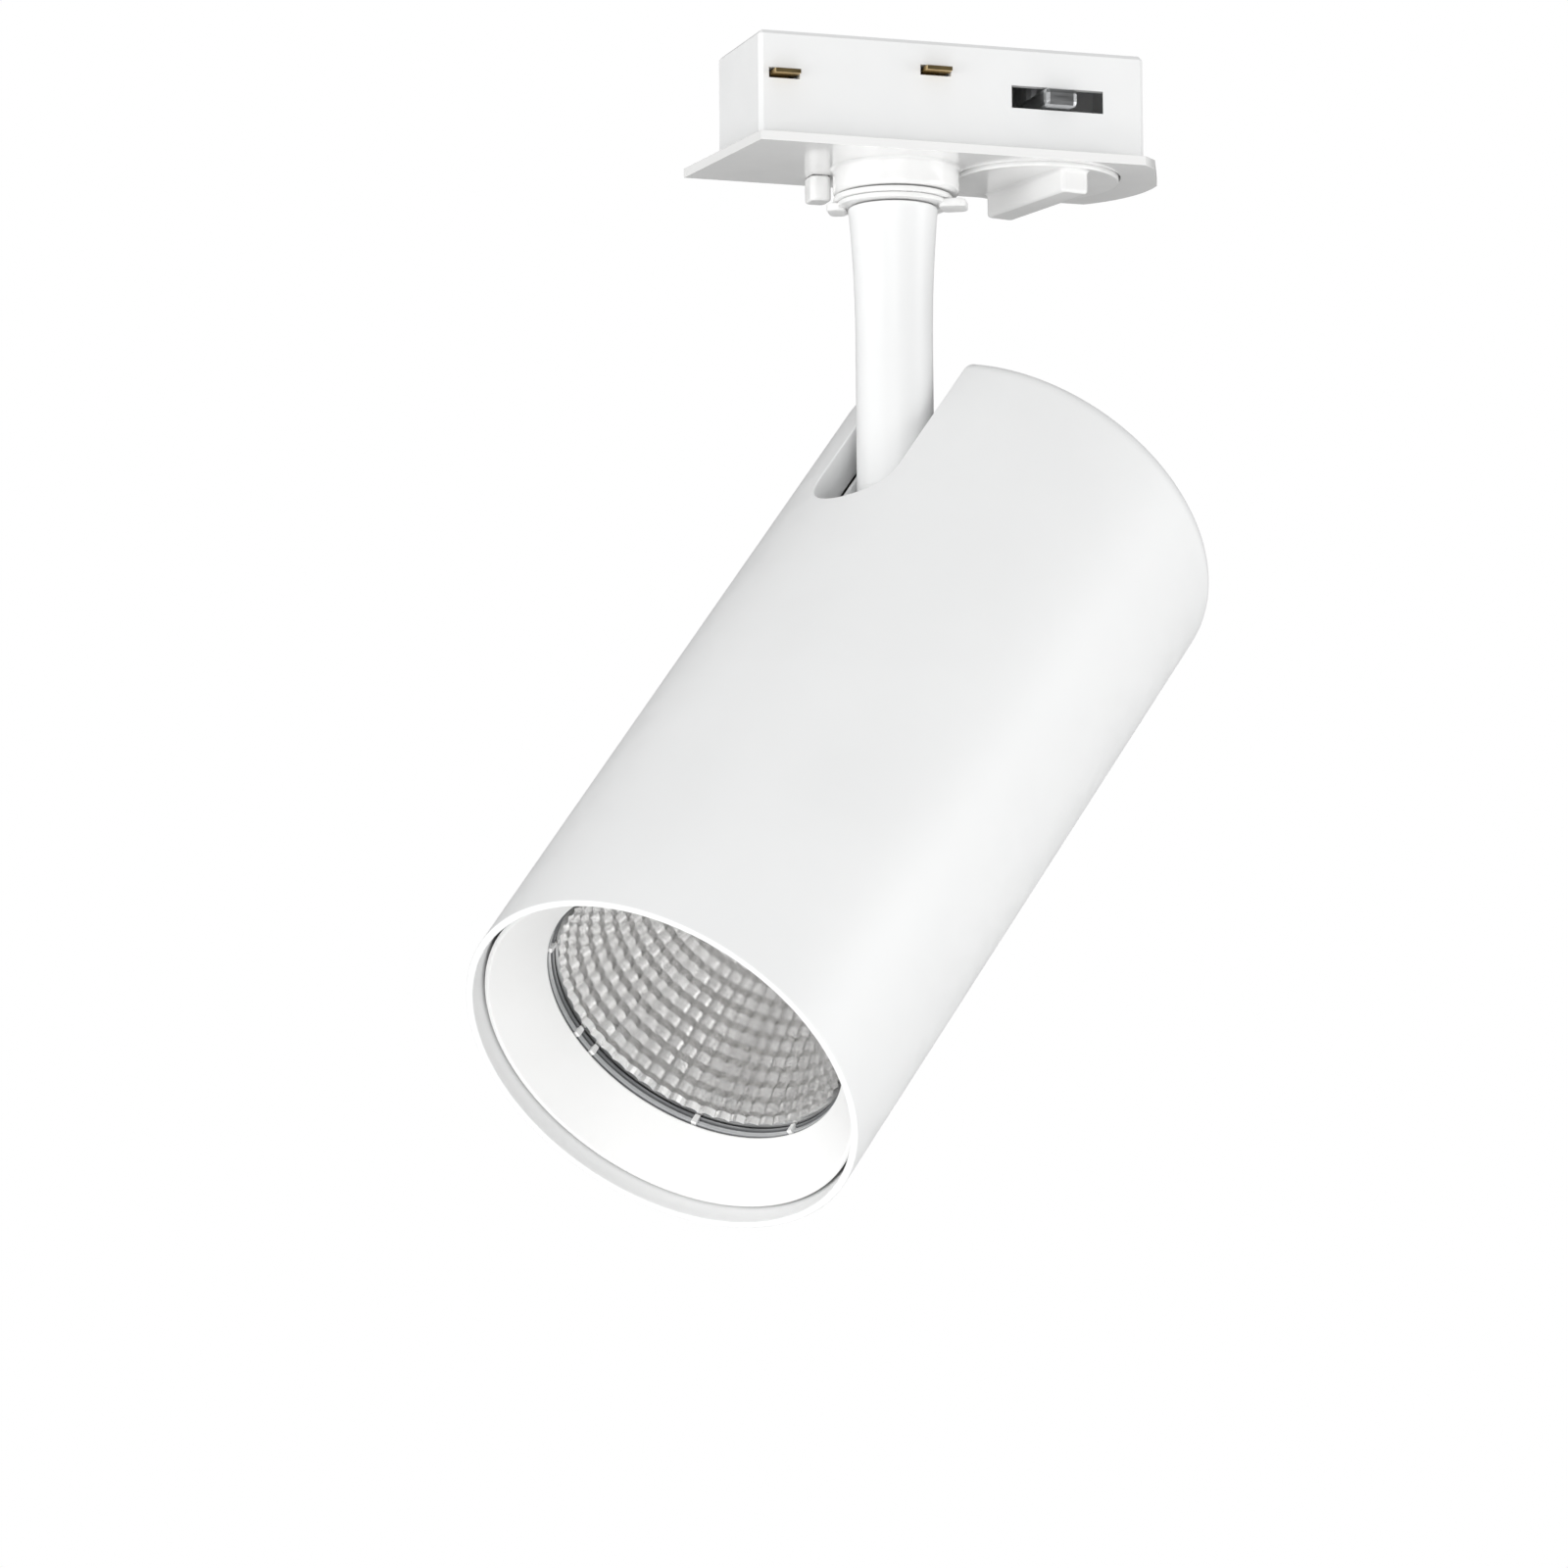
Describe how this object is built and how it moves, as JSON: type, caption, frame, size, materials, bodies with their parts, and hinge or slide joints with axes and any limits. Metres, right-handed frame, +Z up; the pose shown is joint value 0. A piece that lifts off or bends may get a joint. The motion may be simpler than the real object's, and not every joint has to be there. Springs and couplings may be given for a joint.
{
  "type": "track spotlight",
  "caption": "Cylindrical track spotlight: a track adapter with a locking lever and latch, a swivel stem, and a tilting round head with a slot, recessed reflector and driver inside.",
  "frame": {"origin": "on the stem's swivel axis, in the plane where the adapter's cover seats against the underside of the track", "axes": "+Z up into the track along the swivel axis, +X along the track towards the locking lever, +Y across the track"},
  "size_m": [0.157, 0.1304, 0.2292],
  "materials": {
    "adapter_cover": "glossy white moulded plastic",
    "adapter_body": "white moulded plastic",
    "contact_live": "bare brass spring blade",
    "contact_neutral": "bare brass spring blade",
    "contact_earth": "bare brass spring blade",
    "terminal_block": "cream moulded plastic",
    "latch_spring": "drawn spring wire",
    "lever_disc": "white moulded plastic",
    "lever_cam": "zinc die casting",
    "latch_slider": "white moulded plastic",
    "swivel_nipple": "zinc-plated steel",
    "nipple_nut": "zinc-plated steel",
    "wave_washer": "spring steel",
    "swivel_ring": "white moulded plastic",
    "lug_ring": "white powder coat",
    "stem_tube": "white powder coat, satin",
    "stem_knuckle": "white powder coat on a zinc die casting",
    "supply_lead": "pale sheath",
    "head_housing": "white powder coat on cast aluminium, satin",
    "slot_liner": "white moulded plastic",
    "hinge_bracket": "zinc-plated steel plate",
    "pivot_pin": "zinc-plated steel",
    "friction_washer_left": "dark friction plastic",
    "friction_washer_right": "dark friction plastic",
    "spring_washer": "spring steel",
    "tension_nut": "zinc-plated steel",
    "heat_sink": "bare aluminium",
    "bracket_screw_left": "zinc-plated steel",
    "bracket_screw_right": "zinc-plated steel",
    "led_board": "aluminium board with a white mask",
    "led_chip": "yellow phosphor in clear resin",
    "led_holder": "white moulded plastic",
    "holder_screw_left": "zinc-plated steel",
    "holder_screw_right": "zinc-plated steel",
    "reflector": "vapour-coated facets",
    "reflector_ring": "grey moulded plastic",
    "anti_glare_baffle": "white powder coat",
    "driver_case": "grey moulded plastic",
    "driver_lid": "grey moulded plastic",
    "driver_board": "green board",
    "driver_transformer": "taped winding",
    "driver_capacitor": "dark sleeve",
    "driver_choke": "varnished winding",
    "led_lead": "pale sheath"
  },
  "bodies": {
    "adapter": {"adapter_cover": "adapter_cover", "adapter_body": "adapter_body", "contact_live": "contact_live", "contact_neutral": "contact_neutral", "contact_earth": "contact_earth", "terminal_block": "terminal_block", "latch_spring": "latch_spring"},
    "lever": {"lever_disc": "lever_disc", "lever_cam": "lever_cam"},
    "latch": {"latch_slider": "latch_slider"},
    "stem": {"swivel_nipple": "swivel_nipple", "nipple_nut": "nipple_nut", "wave_washer": "wave_washer", "swivel_ring": "swivel_ring", "lug_ring": "lug_ring", "stem_tube": "stem_tube", "stem_knuckle": "stem_knuckle", "supply_lead": "supply_lead"},
    "head": {"head_housing": "head_housing", "slot_liner": "slot_liner", "hinge_bracket": "hinge_bracket", "pivot_pin": "pivot_pin", "friction_washer_left": "friction_washer_left", "friction_washer_right": "friction_washer_right", "spring_washer": "spring_washer", "tension_nut": "tension_nut", "heat_sink": "heat_sink", "bracket_screw_left": "bracket_screw_left", "bracket_screw_right": "bracket_screw_right", "led_board": "led_board", "led_chip": "led_chip", "led_holder": "led_holder", "holder_screw_left": "holder_screw_left", "holder_screw_right": "holder_screw_right", "reflector": "reflector", "reflector_ring": "reflector_ring", "anti_glare_baffle": "anti_glare_baffle", "driver_case": "driver_case", "driver_lid": "driver_lid", "driver_board": "driver_board", "driver_transformer": "driver_transformer", "driver_capacitor": "driver_capacitor", "driver_choke": "driver_choke", "led_lead": "led_lead"}
  },
  "joints": [
    {"name": "pan", "type": "hinge", "parent": "adapter", "child": "stem", "pos_m": [0, 0, 0], "axis": [0, 0, 1], "range_deg": [-175, 175]},
    {"name": "tilt", "type": "hinge", "parent": "stem", "child": "head", "pos_m": [0, 0, -0.0718], "axis": [-0.518, 0.8554, 0], "range_deg": [-43.2, 46.8]},
    {"name": "lever_turn", "type": "hinge", "parent": "adapter", "child": "lever", "pos_m": [0.0292, 0, 0], "axis": [0, 0, 1], "range_deg": [-90, 0]},
    {"name": "latch_slide", "type": "slide", "parent": "adapter", "child": "latch", "axis": [-1, 0, 0], "range_m": [0, 0.0015], "stiffness_N_per_m": 600, "springref_m": -0.002, "deforming": ["latch_spring"]}
  ]
}
